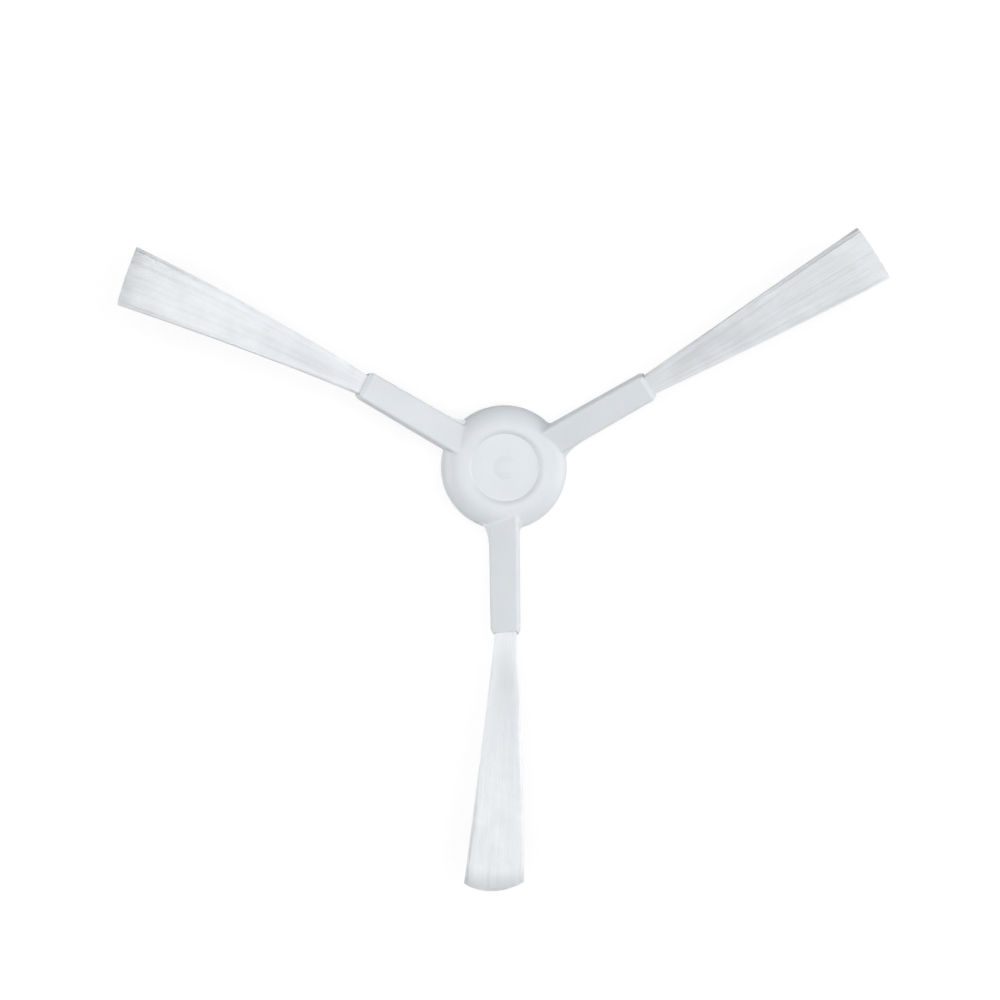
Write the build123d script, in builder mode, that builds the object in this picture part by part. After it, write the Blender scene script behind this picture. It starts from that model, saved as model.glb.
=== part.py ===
from build123d import *
import os
from math import cos, radians, sin, sqrt, tan

os.makedirs("parts", exist_ok=True)

# The side brush stands on the rim of its hub, with the side that faces the floor in use turned up.
# Its origin is on the hub's axis in the plane of the rim, and all sizes are in millimetres and degrees.

# Hub: a low dome round a shallow recess
HUB_DIAMETER = 24.8
HUB_HEIGHT = 11.0
DOME_DROP = 2.8
CREST_WIDTH = 1.2
RECESS_DIAMETER = 13.4
RECESS_DEPTH = 0.55
GATE_DIAMETER = 4.6
GATE_HEIGHT = 0.3
RIM_CHAMFER = 0.4

# Underside of the hub: a drive boss with a square socket, ribs under the arms and cores between them
SHAFT_SIDE = 5.2
SHAFT_CORNER = 0.5
SHAFT_CLEARANCE = 0.1
SOCKET_DEPTH = 7.6
PILOT_DIAMETER = 8.0
PILOT_DEPTH = 1.8
BOSS_WALL = 1.3
SKIRT_WALL = 1.5
ROOF_WALL = 1.8
RIB_WALL = 0.9
RIB_SETBACK = 2.0
CORE_CORNER = 0.8

# Arms: hollow, drooping and pitched like blades, with the side that leads anticlockwise raised
ARM_COUNT = 3
FIRST_ARM_ANGLE = 30.0
ARM_DROOP = 14.0
ARM_PITCH = 14.0
ARM_BELOW_CREST = 1.9
ARM_LENGTH = 21.0
ARM_ROOT_WIDTH = 6.1
ARM_ROOT_HEIGHT = 3.8
ARM_END_WIDTH = 5.8
ARM_END_HEIGHT = 3.5
ARM_DRAFT = 4.0
ARM_CORNER = 0.6
MOUTH_BEVEL_LENGTH = 0.85
MOUTH_BEVEL_DEPTH = 0.35
ARM_BLEND = 0.9
GUSSET_LENGTH = 2.8
GUSSET_WIDTH = 1.4

# Tufts: bristles folded round an anchor, gathered in the arm's pocket and fanned out beyond it
TUFT_WIDTH = 4.3
TUFT_THICKNESS = 2.1
TUFT_CORNER = 0.4
TUFT_CLEARANCE = 0.05
POCKET_DEPTH = 14.0
BRISTLE_LENGTH = 52.5
FAN_WIDTH = 12.2
FAN_THICKNESS = 3.2
FAN_BELLY = 0.3
FAN_TRIM = 1.0
FAN_SPANS = 3

# Set of each fan: its lean at the mouth, its sideways bend, its wear and the slant and crown of its end
FAN_LEANS = (0.35, 3.0, -2.45)
FAN_BENDS = (0.4, 2.4, -1.0)
FAN_WEARS = (0.5, 0.0, 1.1)
FAN_SLANTS = (1.0, 8.0, -1.0)
FAN_CROWNS = (0.3, 0.3, 2.4)

# Strands: the ridges that the bristles gather into
STRAND_COUNT = 11
ROOT_RELIEF = 0.15
TIP_RELIEF = 0.3

# Anchors: short lengths of flat wire
ANCHOR_THICKNESS = 0.4
ANCHOR_WIDTH = 1.4
ANCHOR_BITE = 0.35
ANCHOR_SETBACK = 0.9

hub_radius = HUB_DIAMETER / 2
skirt_height = HUB_HEIGHT - DOME_DROP
recess_radius = RECESS_DIAMETER / 2
recess_floor = HUB_HEIGHT - RECESS_DEPTH
crest_radius = recess_radius + CREST_WIDTH
gate_radius = GATE_DIAMETER / 2
socket_side = SHAFT_SIDE + 2 * SHAFT_CLEARANCE
boss_radius = max(PILOT_DIAMETER, socket_side * sqrt(2)) / 2 + BOSS_WALL

rim_reach = hub_radius / cos(radians(ARM_DROOP))
root_reach = crest_radius / cos(radians(ARM_DROOP))
arm_reach = rim_reach + ARM_LENGTH
arm_axis_height = HUB_HEIGHT - ARM_BELOW_CREST - hub_radius * tan(radians(ARM_DROOP))
pocket_width = TUFT_WIDTH + 2 * TUFT_CLEARANCE
pocket_height = TUFT_THICKNESS + 2 * TUFT_CLEARANCE
pocket_floor = arm_reach - POCKET_DEPTH
pitched_width = ARM_ROOT_WIDTH * cos(radians(ARM_PITCH)) + ARM_ROOT_HEIGHT * sin(radians(ARM_PITCH))
rib_width = pitched_width + 2 * RIB_WALL
gusset_height = ARM_ROOT_HEIGHT - ARM_CORNER
gusset_side = ARM_ROOT_WIDTH / 2 - ARM_CORNER / 2 * tan(radians(ARM_DRAFT))
trim_half = FAN_WIDTH / 2 + FAN_TRIM
trim_spare = FAN_TRIM + trim_half * max(abs(tan(radians(slant))) for slant in FAN_SLANTS)


def arm_plane(angle, reach):
    """Cross-section of an arm: x towards its raised side, y towards its upper face, z outwards."""
    outwards = Vector(1, 0, 0).rotate(Axis.Z, angle)
    sideways = Vector(0, 1, 0).rotate(Axis.Z, angle)
    along = outwards.rotate(Axis((0, 0, 0), sideways), -ARM_DROOP)
    raised = sideways.rotate(Axis((0, 0, 0), along), ARM_PITCH)
    return Plane(origin=Vector(0, 0, arm_axis_height) + along * reach, x_dir=raised, z_dir=along)


def upper_face_plane(section):
    """Plane through the middle of an arm or a fan: x outwards, y towards its raised side."""
    return Plane(origin=section.origin, x_dir=section.z_dir, z_dir=section.y_dir)


def arm_outline(plane, width, height):
    """Outline of an arm, widest at its upper face, with sides that draw in below."""
    with BuildSketch(plane) as outline:
        Trapezoid(width, height, 90 - ARM_DRAFT, rotation=180)
        fillet(outline.vertices(), radius=ARM_CORNER)
    return outline.sketch


def side_plane(section):
    """Plane through the middle of an arm, seen from its raised side: x outwards, y downwards."""
    return Plane(origin=section.origin, x_dir=section.z_dir, z_dir=section.x_dir)


def fan_plane(mouth, distance, lean, bend):
    """Cross-section of a fan at a distance from the mouth of its arm."""
    sideways = distance * tan(radians(lean)) + bend * (distance / BRISTLE_LENGTH) ** 2
    return Plane(
        origin=mouth.origin + mouth.z_dir * distance + mouth.x_dir * sideways,
        x_dir=mouth.x_dir,
        z_dir=mouth.z_dir,
    )


def strand_outline(plane, distance):
    """Outline of a fan at a distance from its mouth, ridged where its bristles gather into strands."""
    share = distance / BRISTLE_LENGTH
    width = TUFT_WIDTH + (FAN_WIDTH - TUFT_WIDTH) * share + 4 * FAN_BELLY * share * (1 - share)
    thickness = TUFT_THICKNESS + (FAN_THICKNESS - TUFT_THICKNESS) * share
    relief = ROOT_RELIEF + (TIP_RELIEF - ROOT_RELIEF) * share
    side = width / 2 - relief
    edge = thickness / 2 - relief
    strand = 2 * side / STRAND_COUNT
    with BuildSketch(plane) as outline:
        with BuildLine():
            for i in range(STRAND_COUNT):
                near = i * strand - side
                far = near + strand
                Polyline((near, edge), (near + strand / 2, thickness / 2), (far, edge))
                Polyline((far, -edge), (near + strand / 2, -thickness / 2), (near, -edge))
            Polyline((-side, -edge), (-width / 2, 0), (-side, edge))
            Polyline((side, edge), (width / 2, 0), (side, -edge))
        make_face()
    return outline.sketch


arm_angles = [FIRST_ARM_ANGLE + i * 360 / ARM_COUNT for i in range(ARM_COUNT)]
fan_sets = list(zip(FAN_LEANS, FAN_BENDS, FAN_WEARS, FAN_SLANTS, FAN_CROWNS))

# Anchors, each lying across the pocket of its arm
anchors = []
for number, angle in enumerate(arm_angles, start=1):
    with BuildPart() as anchor:
        with BuildSketch(arm_plane(angle, pocket_floor + ANCHOR_SETBACK)):
            Rectangle(pocket_width + 2 * ANCHOR_BITE, ANCHOR_THICKNESS)
        extrude(amount=ANCHOR_WIDTH)
    anchor.part.label = f"tuft_anchor_{number}"
    anchors.append(anchor.part)

# Hub and arms, one moulding
with BuildPart() as hub:
    with BuildSketch(Plane.XZ):
        with BuildLine():
            Polyline((0, recess_floor + GATE_HEIGHT), (0, 0), (hub_radius, 0), (hub_radius, skirt_height))
            EllipticalCenterArc(
                (crest_radius, skirt_height), hub_radius - crest_radius, DOME_DROP, start_angle=0, arc_size=90
            )
            TangentArc((crest_radius, HUB_HEIGHT), (recess_radius, recess_floor), tangent=(-1, 0))
            Line((recess_radius, recess_floor), (gate_radius, recess_floor))
            TangentArc((0, recess_floor + GATE_HEIGHT), (gate_radius, recess_floor), tangent=(1, 0))
        make_face()
    revolve(axis=Axis.Z)
    chamfer(hub.edges().group_by(Axis.Z)[0], length=RIM_CHAMFER)

    # Arms, tapering from the hub to their open ends and blended into the dome and the skirt
    for angle in arm_angles:
        arm_root = arm_outline(arm_plane(angle, root_reach), ARM_ROOT_WIDTH, ARM_ROOT_HEIGHT)
        arm_end = arm_outline(arm_plane(angle, arm_reach), ARM_END_WIDTH, ARM_END_HEIGHT)
        loft([arm_root, arm_end])
    fillet(hub.edges().filter_by(GeomType.BSPLINE), radius=ARM_BLEND)
    for angle in arm_angles:
        end_face = hub.faces().sort_by_distance(arm_plane(angle, arm_reach).origin)[0]
        chamfer(end_face.edges(), length=MOUTH_BEVEL_DEPTH, length2=MOUTH_BEVEL_LENGTH, reference=end_face)

    # Gussets where the lower side of each arm leaves the skirt
    for angle in arm_angles:
        with BuildSketch(upper_face_plane(arm_plane(angle, rim_reach)).offset(gusset_height / 2)):
            with BuildLine():
                flare = TangentArc(
                    (GUSSET_LENGTH, -gusset_side),
                    (-GUSSET_WIDTH, -gusset_side - GUSSET_WIDTH),
                    tangent=(-1, 0),
                )
                Polyline(flare @ 1, (-GUSSET_WIDTH, 0), (GUSSET_LENGTH, 0), flare @ 0)
            make_face()
        extrude(amount=-gusset_height, taper=ARM_DRAFT)

    # Shallow ring round the boss, then deeper cores between the ribs that carry the arms
    with BuildSketch():
        Circle(hub_radius - SKIRT_WALL)
        Circle(boss_radius, mode=Mode.SUBTRACT)
    extrude(amount=RIB_SETBACK, mode=Mode.SUBTRACT)
    with BuildSketch() as cores:
        Circle(hub_radius - SKIRT_WALL)
        Circle(boss_radius, mode=Mode.SUBTRACT)
        with PolarLocations(0, ARM_COUNT, start_angle=FIRST_ARM_ANGLE):
            Rectangle(hub_radius, rib_width, align=(Align.MIN, Align.CENTER), mode=Mode.SUBTRACT)
        fillet(cores.vertices(), radius=CORE_CORNER)
    extrude(amount=skirt_height - ROOF_WALL, mode=Mode.SUBTRACT)

    # Drive socket: a round mouth and a square seat
    with BuildSketch():
        Circle(PILOT_DIAMETER / 2)
    extrude(amount=PILOT_DEPTH, mode=Mode.SUBTRACT)
    with BuildSketch():
        RectangleRounded(socket_side, socket_side, SHAFT_CORNER)
    extrude(amount=SOCKET_DEPTH, mode=Mode.SUBTRACT)

    # Pockets for the tufts and slots for their anchors
    for angle, anchor in zip(arm_angles, anchors):
        with BuildSketch(arm_plane(angle, pocket_floor)):
            RectangleRounded(pocket_width, pocket_height, TUFT_CORNER + TUFT_CLEARANCE)
        extrude(amount=POCKET_DEPTH, mode=Mode.SUBTRACT)
        add(anchor, mode=Mode.SUBTRACT)
hub.part.label = "hub_and_arms"
export_step(hub.part, "parts/hub_and_arms.step")

# Tufts: folded round the anchor, straight in the arm, then fanned out and trimmed to a curve
for i in range(ARM_COUNT):
    root = arm_plane(arm_angles[i], pocket_floor + TUFT_CLEARANCE)
    mouth = arm_plane(arm_angles[i], arm_reach)
    lean, bend, wear, slant, crown = fan_sets[i % len(fan_sets)]
    tip = fan_plane(mouth, BRISTLE_LENGTH - wear, lean, bend)
    cut = Plane(tip.location * Rot(0, slant, 0))
    stations = [(BRISTLE_LENGTH + trim_spare) * span / FAN_SPANS for span in range(FAN_SPANS + 1)]
    with BuildPart() as tuft:
        with BuildSketch(side_plane(root)):
            with BuildLine():
                fold = CenterArc((TUFT_THICKNESS / 2, 0), TUFT_THICKNESS / 2, 90, 180)
                gathered = POCKET_DEPTH - TUFT_CLEARANCE
                Polyline(fold @ 1, (gathered, -TUFT_THICKNESS / 2), (gathered, TUFT_THICKNESS / 2), fold @ 0)
            make_face()
        extrude(amount=TUFT_WIDTH / 2, both=True)
        fillet(tuft.edges().filter_by(Axis(root.origin, root.z_dir)), radius=TUFT_CORNER)
        loft(
            [strand_outline(fan_plane(mouth, distance, lean, bend), distance) for distance in stations],
            ruled=True,
        )
        with BuildSketch(upper_face_plane(cut)):
            with BuildLine():
                end = ThreePointArc((-crown, -trim_half), (0, 0), (-crown, trim_half))
                beyond = wear + 2 * trim_spare
                Polyline(end @ 1, (beyond, trim_half), (beyond, -trim_half), end @ 0)
            make_face()
        extrude(amount=FAN_THICKNESS, both=True, mode=Mode.SUBTRACT)
        add(anchors[i], mode=Mode.SUBTRACT)
    tuft.part.label = f"bristle_tuft_{i + 1}"
    export_step(tuft.part, f"parts/bristle_tuft_{i + 1}.step")
    export_step(anchors[i], f"parts/tuft_anchor_{i + 1}.step")
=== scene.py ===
from math import cos, pi, radians, sin
from types import SimpleNamespace

import bmesh
import bpy
import numpy as np
from mathutils import Matrix, Vector


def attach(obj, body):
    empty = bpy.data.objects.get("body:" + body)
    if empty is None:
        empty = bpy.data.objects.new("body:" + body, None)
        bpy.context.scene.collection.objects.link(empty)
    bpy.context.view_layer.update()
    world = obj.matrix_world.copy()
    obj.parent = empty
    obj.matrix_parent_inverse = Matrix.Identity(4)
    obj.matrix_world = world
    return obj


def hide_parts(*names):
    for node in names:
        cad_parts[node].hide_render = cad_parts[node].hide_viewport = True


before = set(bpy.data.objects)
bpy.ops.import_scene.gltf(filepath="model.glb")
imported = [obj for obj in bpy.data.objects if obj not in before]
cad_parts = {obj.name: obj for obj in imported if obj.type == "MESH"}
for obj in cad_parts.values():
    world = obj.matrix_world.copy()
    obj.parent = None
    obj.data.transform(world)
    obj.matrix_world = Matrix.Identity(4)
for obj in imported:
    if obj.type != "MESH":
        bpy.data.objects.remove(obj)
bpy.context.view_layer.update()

# Hub and arms
# One moulding in white polypropylene: the dome, its shallow recess and the three hollow arms.
# The mould's fine spark-eroded skin leaves it satin, with faint cloudy flow marks in the white.
PLASTIC_WHITE = (0.72, 0.752, 0.779, 1.0)
PLASTIC_CLOUD = (0.68, 0.711, 0.743, 1.0)
BLEND_ENDS = (0.3, 0.7)
CLOUD_SIZE = 0.011
CLOUD_DETAIL = 3
SKIN_GRAIN = 0.00032
SKIN_DETAIL = 2
SKIN_DEPTH = 0.000012
SATIN_RANGE = (0.40, 0.52)
PLASTIC_GLOW = 0.12
PLASTIC_GLOW_REACH = 0.0008


def new_finish(name):
    """A material with one principled shader, given as the material, its nodes, its links and the shader."""
    material = bpy.data.materials.new(name)
    material.use_nodes = True
    tree = material.node_tree
    return material, tree.nodes, tree.links, tree.nodes["Principled BSDF"]


def add_noise(nodes, links, where, size, detail):
    """Noise whose features are about one size across, laid over the coordinates that are given."""
    noise = nodes.new("ShaderNodeTexNoise")
    noise.inputs["Scale"].default_value = 1 / size
    noise.inputs["Detail"].default_value = detail
    links.new(where, noise.inputs["Vector"])
    return noise.outputs["Fac"]


def add_blend(nodes, links, amount, dark, light):
    """Colour between a dark and a light one, by an amount that is mostly near its middle."""
    ramp = nodes.new("ShaderNodeValToRGB")
    for element, position, colour in zip(ramp.color_ramp.elements, BLEND_ENDS, (dark, light)):
        element.position = position
        element.color = colour
    links.new(amount, ramp.inputs["Fac"])
    return ramp.outputs["Color"]


def add_range(nodes, links, amount, low, high):
    """An amount from 0 to 1 stretched over a range."""
    spread = nodes.new("ShaderNodeMapRange")
    spread.inputs["To Min"].default_value = low
    spread.inputs["To Max"].default_value = high
    links.new(amount, spread.inputs["Value"])
    return spread.outputs["Result"]


def add_bump(nodes, links, shader, height, depth):
    """Surface relief of a real depth, in metres."""
    bump = nodes.new("ShaderNodeBump")
    bump.inputs["Distance"].default_value = depth
    links.new(height, bump.inputs["Height"])
    links.new(bump.outputs["Normal"], shader.inputs["Normal"])


satin_plastic, nodes, links, shader = new_finish("satin_white_plastic")
place = nodes.new("ShaderNodeTexCoord").outputs["Object"]
cloud = add_noise(nodes, links, place, CLOUD_SIZE, CLOUD_DETAIL)
grain = add_noise(nodes, links, place, SKIN_GRAIN, SKIN_DETAIL)
links.new(add_blend(nodes, links, cloud, PLASTIC_CLOUD, PLASTIC_WHITE), shader.inputs["Base Color"])
links.new(add_range(nodes, links, grain, *SATIN_RANGE), shader.inputs["Roughness"])
add_bump(nodes, links, shader, grain, SKIN_DEPTH)
shader.inputs["Subsurface Weight"].default_value = PLASTIC_GLOW
shader.inputs["Subsurface Scale"].default_value = PLASTIC_GLOW_REACH
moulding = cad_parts["hub_and_arms"]
moulding.data.materials.clear()
moulding.data.materials.append(satin_plastic)

# Tuft anchors
# Short lengths of bright flat steel wire, pressed across the pocket in each arm.
# Drawing leaves fine scratches in the steel; each anchor passes through the fold of one tuft.
STEEL_LIGHT = (0.66, 0.66, 0.67, 1.0)
STEEL_DARK = (0.50, 0.50, 0.52, 1.0)
SCRATCH_SIZE = 0.00012
SCRATCH_DETAIL = 4
STEEL_RANGE = (0.22, 0.38)
TUFT_NUMBERS = (1, 2, 3)

drawn_steel, nodes, links, shader = new_finish("drawn_flat_wire")
place = nodes.new("ShaderNodeTexCoord").outputs["Object"]
scratches = add_noise(nodes, links, place, SCRATCH_SIZE, SCRATCH_DETAIL)
links.new(add_blend(nodes, links, scratches, STEEL_DARK, STEEL_LIGHT), shader.inputs["Base Color"])
links.new(add_range(nodes, links, scratches, *STEEL_RANGE), shader.inputs["Roughness"])
shader.inputs["Metallic"].default_value = 1.0
for number in TUFT_NUMBERS:
    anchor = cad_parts[f"tuft_anchor_{number}"]
    anchor.data.materials.clear()
    anchor.data.materials.append(drawn_steel)

# Bristle tufts
# Drawn nylon bristles, folded in two round the anchor wire and packed into the pocket of the arm.
# Beyond the mouth they fan out in loose, slightly wavy strands, and their ends are cut in one go.
BRISTLE_RADIUS = 0.00005
BRISTLE_SIDES = 5

# Packing in the pocket: layers above the wire, laid like brickwork and narrower towards the top
LAYERS = 10
COLUMNS = 50
BRICK_STEP = 0.5
CORNER_EASE = 0.08
FOLD_STEPS = 6

# Opening of the fan, in shares of its half size: a close sheet of outer layers over a looser core
FAN_STEPS = 10
OPENING = 4
SHEET_LAYERS = 7
SHEET_DEPTH = 0.06
CORE_GAP = 0.12
EDGE_ROUND = 6
TIP_FLATTENING = 0.6
STRANDS = 13
STRAND_PULL = 0.03

# Stray of single bristles: tips in shares of the half size, waves in metres, cuts in shares of the length
STRAY_ACROSS = 0.003
STRAY_ABOVE = 0.008
WAVE_HEIGHT = 0.00001
WAVE_TURNS = (0.8, 1.6)
CUT_SCATTER = 0.0025

# Where the tuft's solid is measured: shares of the fan's length and of its half width
SECTION_SHARES = np.linspace(0.04, 0.92, 8)
CUT_SHARES = np.linspace(-0.9, 0.9, 9)
FORM_DEGREE = 2
PAST_TIP = 0.01
ARM_HALF = (0.004, 0.003)
SAME_CORNER_DIGITS = 7

# Colours of the nylon, and for each tuft the range between them from which its strands are drawn. Within a
# range the tone differs at random. The ranges themselves differ from tuft to tuft as painted shade, with
# tuft 1, the upper right one, much the darkest.
NYLON_WHITE = (0.938, 0.964, 0.988, 1.0)
NYLON_SHADE = (0.765, 0.791, 0.814, 1.0)
TUFT_TONES_AND_PAINTED_SHADE = {1: (0.28, 0.53), 2: (0.68, 0.85), 3: (0.85, 1.0)}
SHADE_STRAY = 0.06
# Painted shade: the bristles' colour is darkened at the mouth and round the fold, and more and more towards
# the cut tips
TIP_PAINTED_SHADE = 0.48
MOUTH_PAINTED_SHADE = 0.3
STREAK_SIZE = 0.004
STREAK_DETAIL = 2
STREAK_PART = 0.4
NYLON_RANGE = (0.30, 0.45)


def points_of(thing):
    """Corners of a piece's mesh."""
    return np.array([corner.co for corner in thing.data.vertices])


def arm_axes(wire):
    """Middle of an anchor wire, and the sideways, upward and outward directions of its arm."""
    corners = np.unique(points_of(wire).round(SAME_CORNER_DIGITS), axis=0)
    middle = corners.mean(axis=0)
    directions = np.linalg.eigh(np.cov((corners - middle).T))[1].T
    upward = directions[0] * np.sign(directions[0][2])
    outward = directions[1] * np.sign(directions[1][:2] @ middle[:2])
    return middle, np.array([np.cross(upward, outward), upward, outward])


def section_of(solid, middle, axes, reach):
    """Middle and half size of a tuft's solid, sideways and upward, at a reach along its arm."""
    cut = bmesh.new()
    cut.from_mesh(solid.data)
    everything = cut.verts[:] + cut.edges[:] + cut.faces[:]
    found = bmesh.ops.bisect_plane(
        cut, geom=everything, plane_co=middle + axes[2] * reach, plane_no=axes[2]
    )
    edge = np.array([item.co for item in found["geom_cut"] if isinstance(item, bmesh.types.BMVert)])
    cut.free()
    flat = (edge - middle) @ axes[:2].T
    low, high = flat.min(axis=0), flat.max(axis=0)
    return np.concatenate([(low + high) / 2, (high - low) / 2])


def cut_reach(solid, middle, axes, sideways, beyond):
    """Reach of a fan's cut end at a place across it, found from a reach beyond it."""
    start = middle + axes[0] * sideways + axes[2] * beyond
    where = solid.ray_cast(Vector(start), Vector(-axes[2]))[1]
    return (np.array(where) - middle) @ axes[2]


def read_fan(solid, wire):
    """Sizes of a tuft's solid in the directions of its arm, from which the bristles are laid."""
    fan = SimpleNamespace()
    fan.middle, fan.axes = arm_axes(wire)
    tuft_reach = (points_of(solid) - fan.middle) @ fan.axes[2]
    around = (points_of(moulding) - fan.middle) @ fan.axes.T
    beside = (abs(around[:, :2]) < ARM_HALF).all(axis=1)
    fan.root, fan.mouth, tip = tuft_reach.min(), around[beside, 2].max(), tuft_reach.max()
    fan.length = tip - fan.mouth
    fan.wire_half = abs((points_of(wire) - fan.middle) @ fan.axes[1]).max()

    # Its middle and half size are smooth curves of the share of its length, counted from the mouth
    reaches = fan.mouth + SECTION_SHARES * fan.length
    sections = [section_of(solid, fan.middle, fan.axes, reach) for reach in reaches]
    fan.form = np.polyfit(SECTION_SHARES, sections, FORM_DEGREE)
    fan.at_mouth, fan.at_tip = fan.form[-1], fan.form.sum(axis=0)
    fan.tip_half = fan.at_tip[2:] * (1, TIP_FLATTENING)

    # Its end is cut in a curve across its width, and along the hub's axis
    across = fan.at_tip[0] + CUT_SHARES * fan.at_tip[2]
    ends = [cut_reach(solid, fan.middle, fan.axes, sideways, tip + PAST_TIP) for sideways in across]
    fan.cut = np.polyfit(across, ends, FORM_DEGREE)
    fan.cut_slant = fan.axes[2][2] / fan.axes[1][2]
    return fan


def place_in_end(way, depth, half):
    """Place in the upper half of a fan's end, sideways and upward, as shares of its half size.

    The way goes from -1 at one edge over the top to 1 at the other, at a depth under the surface.
    """
    length = abs(way) * half.sum()
    place = np.array([min(length / half[0], 1), 1 - max(length - half[0], 0) / half[1]])
    place /= max((abs(place) ** EDGE_ROUND).sum() ** (1 / EDGE_ROUND), 1)
    facing = abs(place) ** (EDGE_ROUND - 1)
    place -= facing / facing.max() * depth / half
    return place * (np.sign(way), 1)


def free_end(fan, column, mouth_height, side, way, depth, chance):
    """Middle line of a bristle beyond the mouth, on the upper side or, where side is -1, on the lower."""
    way += chance.normal(0, STRAY_ACROSS)
    tip_across, tip_above = place_in_end(way, depth, fan.tip_half)
    tip_above = np.clip(side * tip_above + chance.normal(0, STRAY_ABOVE), -1, 1) * TIP_FLATTENING
    bend = chance.normal(0, WAVE_HEIGHT, 2)
    turns = chance.uniform(*WAVE_TURNS)
    end_across = fan.at_tip[0] + tip_across * (fan.at_tip[2] - BRISTLE_RADIUS)
    under_top = fan.tip_half[1] - tip_above * fan.at_tip[3]
    end_reach = np.polyval(fan.cut, end_across) - under_top * fan.cut_slant
    end = (end_reach - fan.mouth) / fan.length - abs(chance.normal(0, CUT_SCATTER))

    share = np.linspace(0, 1, FAN_STEPS) * end
    across, up, half_across, half_up = (np.vander(share, FORM_DEGREE + 1) @ fan.form).T
    opened = 1 - (1 - share / end) ** OPENING
    sideways = column + (tip_across - column) * opened
    above = side * mouth_height * (1 - opened) + tip_above * opened
    wave = np.sin(pi * turns * share) * share
    line = [
        across + sideways * (half_across - BRISTLE_RADIUS) + bend[0] * wave,
        up + above * (half_up - BRISTLE_RADIUS) + bend[1] * wave,
        fan.mouth + share * fan.length,
    ]
    return np.stack(line, axis=1)


def fold_round_wire(fan, column, height):
    """Middle line of a bristle's fold, from its upper half round the wire to its lower half."""
    half_width = fan.at_mouth[2] - BRISTLE_RADIUS
    angles = np.linspace(0, pi, FOLD_STEPS)
    line = [
        np.full(FOLD_STEPS, fan.at_mouth[0] + column * half_width),
        height * np.cos(angles),
        fan.root + fan.at_mouth[3] - height * np.sin(angles),
    ]
    return np.stack(line, axis=1)


def from_middle(share):
    """A share of the whole width, from 0 to 1, as a share of the half width, from -1 to 1."""
    return share * 2 - 1


def lay_bristles(fan, tone_and_painted_shade_range, chance):
    """Middle lines of one tuft's bristles, from upper tip to lower tip, and the shade of each, which holds
    the tuft's painted shade.
    """
    half_height = fan.at_mouth[3] - BRISTLE_RADIUS
    lowest = fan.wire_half + BRISTLE_RADIUS
    sheet_foot = (LAYERS - SHEET_LAYERS) / (LAYERS - 1)
    # Strand tones are drawn from the tuft's range, so they carry its painted shade too
    strand_shades = chance.uniform(*tone_and_painted_shade_range, STRANDS)
    lines, shades = [], []
    for layer in range(LAYERS):
        rise = layer / (LAYERS - 1)
        height = lowest + rise * (half_height - lowest)
        mouth_height = (BRISTLE_RADIUS + rise * (half_height - BRISTLE_RADIUS)) / half_height
        depth = np.interp(rise, (0, sheet_foot, 1), (1 - CORE_GAP, SHEET_DEPTH, 0)) * fan.tip_half[1]
        layer_width = 1 - CORNER_EASE * rise**2
        brick_shift = BRICK_STEP / 2 + BRICK_STEP * (layer % 2)
        sheet_shift = (layer % SHEET_LAYERS + 0.5) / SHEET_LAYERS
        for place in range(COLUMNS):
            column = from_middle((place + brick_shift) / COLUMNS) * layer_width
            spread = from_middle((place + sheet_shift) / COLUMNS)
            strand = int((spread + 1) / 2 * STRANDS)
            way = spread + STRAND_PULL * (from_middle((strand + 0.5) / STRANDS) - spread)
            upper = free_end(fan, column, mouth_height, 1, way, depth, chance)
            lower = free_end(fan, column, mouth_height, -1, way, depth, chance)
            line = np.concatenate([upper[::-1], fold_round_wire(fan, column, height), lower])
            lines.append(fan.middle + line @ fan.axes)
            shades.append(strand_shades[strand] + chance.normal(0, SHADE_STRAY))
    return np.array(lines), np.array(shades)


def bristle_mesh(name, lines, shades, sideways):
    """Thin round bristles along their middle lines, with cut ends, and with painted shade that darkens them
    at the mouth and towards the tips.
    """
    count, steps, _ = lines.shape
    ahead = np.gradient(lines, axis=1)
    ahead /= np.linalg.norm(ahead, axis=2, keepdims=True)
    across = sideways - ahead * (ahead @ sideways)[:, :, None]
    across /= np.linalg.norm(across, axis=2, keepdims=True)
    beside = np.cross(ahead, across)
    angles = np.arange(BRISTLE_SIDES) * 2 * pi / BRISTLE_SIDES
    ring = across[:, :, None] * np.cos(angles)[:, None] + beside[:, :, None] * np.sin(angles)[:, None]
    corners = (lines[:, :, None] + BRISTLE_RADIUS * ring).reshape(-1, 3)

    index = np.arange(count * steps * BRISTLE_SIDES).reshape(count, steps, BRISTLE_SIDES)
    after = np.roll(index, -1, axis=2)
    walls = np.stack([index[:, :-1], after[:, :-1], after[:, 1:], index[:, 1:]], axis=-1).reshape(-1, 4)
    caps = np.concatenate([index[:, 0, ::-1], index[:, -1]])
    mesh = bpy.data.meshes.new(name)
    mesh.from_pydata(corners.tolist(), [], walls.tolist() + caps.tolist())
    mesh.polygons.foreach_set("use_smooth", [True] * len(walls) + [False] * len(caps))

    # Painted shade along each bristle, taken off its tone: a fixed amount at the mouth and round the fold,
    # growing towards each tip
    painted_shade_along = np.full(steps, MOUTH_PAINTED_SHADE)
    tip_painted_darkening = TIP_PAINTED_SHADE * np.linspace(1, 0, FAN_STEPS)[:-1] ** 2
    painted_shade_along[:FAN_STEPS - 1] = tip_painted_darkening
    painted_shade_along[1 - FAN_STEPS:] = tip_painted_darkening[::-1]
    point_tones_with_painted_shade = (shades[:, None] - painted_shade_along).ravel()
    shade = mesh.attributes.new("bristle_tone_and_painted_shade", "FLOAT", "POINT")
    shade.data.foreach_set("value", np.repeat(point_tones_with_painted_shade, BRISTLE_SIDES))
    mesh.validate()
    return mesh


white_nylon, nodes, links, shader = new_finish("white_nylon_bristle")
place = nodes.new("ShaderNodeTexCoord").outputs["Object"]
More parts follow.
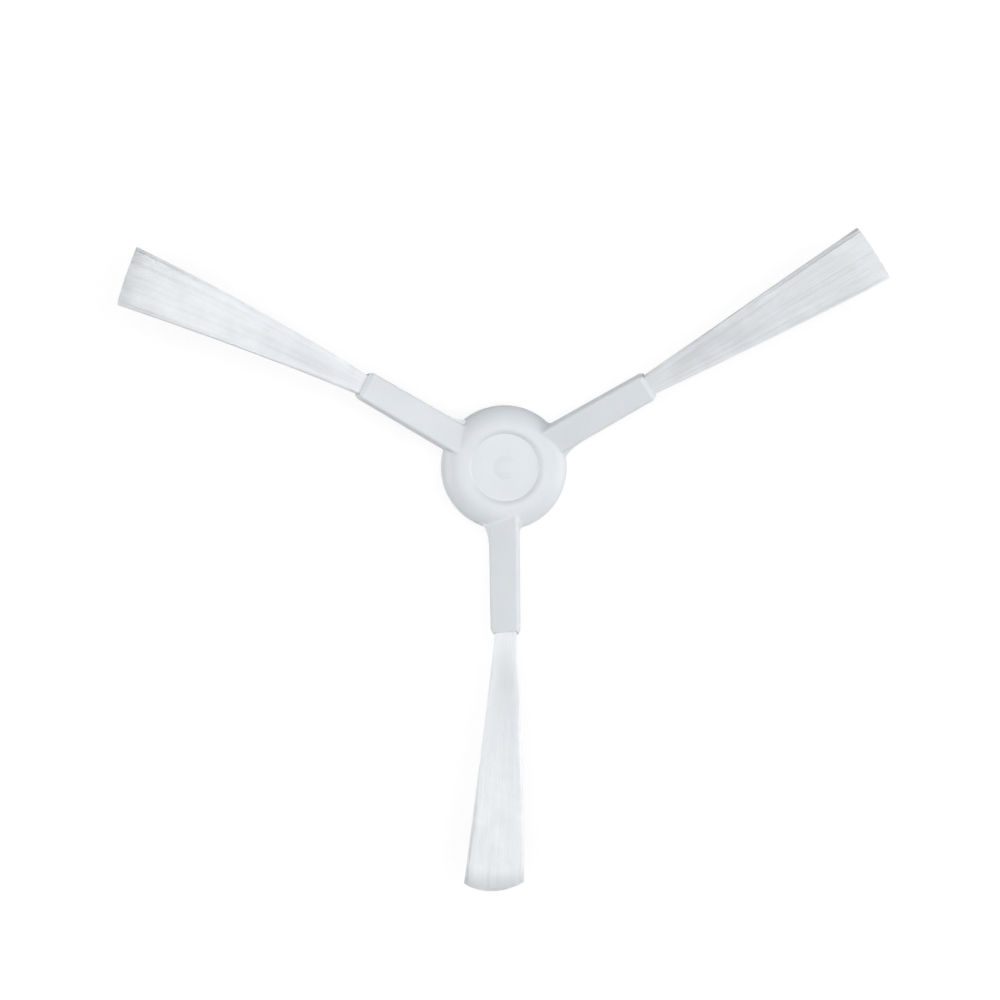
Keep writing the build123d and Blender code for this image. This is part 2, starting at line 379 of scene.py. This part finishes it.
# This attribute carries each bristle's own tone together with the painted shade of its tuft, its mouth and
# its tips
own_shade = nodes.new("ShaderNodeAttribute")
own_shade.attribute_name = "bristle_tone_and_painted_shade"
streaks = add_noise(nodes, links, place, STREAK_SIZE, STREAK_DETAIL)
mixed = nodes.new("ShaderNodeMath")
mixed.operation = "MULTIPLY_ADD"
mixed.inputs[1].default_value = 1 - STREAK_PART
links.new(own_shade.outputs["Fac"], mixed.inputs[0])
links.new(add_range(nodes, links, streaks, 0.0, STREAK_PART), mixed.inputs[2])
nylon_colour = add_blend(nodes, links, mixed.outputs["Value"], NYLON_SHADE, NYLON_WHITE)
links.new(nylon_colour, shader.inputs["Base Color"])
links.new(add_range(nodes, links, streaks, *NYLON_RANGE), shader.inputs["Roughness"])

# The solids are brought up to date before rays are cast at their ends
bpy.context.view_layer.update()
for number in TUFT_NUMBERS:
    fan = read_fan(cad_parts[f"bristle_tuft_{number}"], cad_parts[f"tuft_anchor_{number}"])
    lines, shades = lay_bristles(fan, TUFT_TONES_AND_PAINTED_SHADE[number], np.random.default_rng(number))
    mesh = bristle_mesh(f"bristles_{number}", lines, shades, fan.axes[0])
    mesh.materials.append(white_nylon)
    bristles = bpy.data.objects.new(f"bristles_{number}", mesh)
    bpy.context.scene.collection.objects.link(bristles)
    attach(bristles, "root")
    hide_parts(f"bristle_tuft_{number}")

# Studio
# The brush stands on a plain white table, lit by a softbox overhead and two low ones at its sides.
# The camera looks straight down on it, leaning a little towards the upper left arm.
TABLE_HALF = 1.5
TABLE_WHITE = (0.82, 0.82, 0.82, 1.0)
TABLE_SHADED = (0.26, 0.26, 0.26, 1.0)
TABLE_GLOW = 0.78
ROOM_WHITE = (1.0, 1.0, 1.0, 1.0)
ROOM_LEVEL = 0.05
SOFTBOX_LEVELS = {"overhead": 0.82, "right": 0.51, "left": 0.29}
SOFTBOX_PLACES = {"overhead": (0.0, 0.0, 0.7), "right": (0.62, 0.0, 0.24), "left": (-0.62, 0.0, 0.24)}
SOFTBOX_SIZES = {"overhead": (0.7, 0.5), "right": (0.45, 0.3), "left": (0.45, 0.3)}
SIGHT = (-0.0009, -0.00646, 0.008)
SIGHT_DISTANCE = 0.9
SIGHT_LEAN = 2.9
SIGHT_LEAN_TOWARDS = 169.0
VIEW_WIDTH = 0.199
SENSOR_WIDTH = 36.0


def seen_directly(nodes, links):
    """1 for what the camera sees, also in a reflection or through glass, and 0 for light on the brush."""
    path = nodes.new("ShaderNodeLightPath")
    total = path.outputs["Is Camera Ray"]
    for also in ("Is Glossy Ray", "Is Transmission Ray"):
        either = nodes.new("ShaderNodeMath")
        either.operation = "MAXIMUM"
        links.new(total, either.inputs[0])
        links.new(path.outputs[also], either.inputs[1])
        total = either.outputs["Value"]
    return total


table_top = bpy.data.materials.new("white_table")
table_top.use_nodes = True
nodes, links = table_top.node_tree.nodes, table_top.node_tree.links
nodes.clear()
matt = nodes.new("ShaderNodeBsdfDiffuse")
matt.inputs["Color"].default_value = TABLE_WHITE
shaded = nodes.new("ShaderNodeBsdfDiffuse")
shaded.inputs["Color"].default_value = TABLE_SHADED
glow = nodes.new("ShaderNodeEmission")
glow.inputs["Strength"].default_value = TABLE_GLOW
pale = nodes.new("ShaderNodeAddShader")
links.new(shaded.outputs["BSDF"], pale.inputs[0])
links.new(glow.outputs["Emission"], pale.inputs[1])
choice = nodes.new("ShaderNodeMixShader")
links.new(seen_directly(nodes, links), choice.inputs["Fac"])
links.new(matt.outputs["BSDF"], choice.inputs[1])
links.new(pale.outputs["Shader"], choice.inputs[2])
links.new(choice.outputs["Shader"], nodes.new("ShaderNodeOutputMaterial").inputs["Surface"])

table_mesh = bpy.data.meshes.new("table")
corners = [(x * TABLE_HALF, y * TABLE_HALF, 0.0) for x, y in ((-1, -1), (1, -1), (1, 1), (-1, 1))]
table_mesh.from_pydata(corners, [], [(0, 1, 2, 3)])
table_mesh.materials.append(table_top)
table = bpy.data.objects.new("table", table_mesh)
bpy.context.scene.collection.objects.link(table)

world = bpy.data.worlds.new("white_room")
bpy.context.scene.world = world
world.use_nodes = True
nodes, links = world.node_tree.nodes, world.node_tree.links
nodes.clear()
room = nodes.new("ShaderNodeBackground")
room.inputs["Color"].default_value = ROOM_WHITE
level = add_range(nodes, links, seen_directly(nodes, links), ROOM_LEVEL, 1.0)
links.new(level, room.inputs["Strength"])
links.new(room.outputs["Background"], nodes.new("ShaderNodeOutputWorld").inputs["Surface"])

for name, place in SOFTBOX_PLACES.items():
    lamp = bpy.data.lights.new(f"{name}_softbox", "AREA")
    lamp.shape = "RECTANGLE"
    lamp.size, lamp.size_y = SOFTBOX_SIZES[name]
    lamp.energy = SOFTBOX_LEVELS[name] * pi**2 * Vector(place).length_squared
    softbox = bpy.data.objects.new(f"{name}_softbox", lamp)
    softbox.location = place
    softbox.rotation_euler = Vector(place).to_track_quat("Z", "Y").to_euler()
    bpy.context.scene.collection.objects.link(softbox)

lean, towards = radians(SIGHT_LEAN), radians(SIGHT_LEAN_TOWARDS)
back = Vector((sin(lean) * cos(towards), sin(lean) * sin(towards), cos(lean)))
upwards = (Vector((0, 1, 0)) - back * back.y).normalized()
turned = Matrix((upwards.cross(back), upwards, back)).transposed().to_4x4()
lens = bpy.data.cameras.new("camera")
lens.sensor_width = SENSOR_WIDTH
lens.lens = SENSOR_WIDTH * SIGHT_DISTANCE / VIEW_WIDTH
camera = bpy.data.objects.new("camera", lens)
camera.matrix_world = Matrix.Translation(Vector(SIGHT) + back * SIGHT_DISTANCE) @ turned
bpy.context.scene.collection.objects.link(camera)
bpy.context.scene.camera = camera
bpy.context.scene.view_settings.view_transform = "Standard"
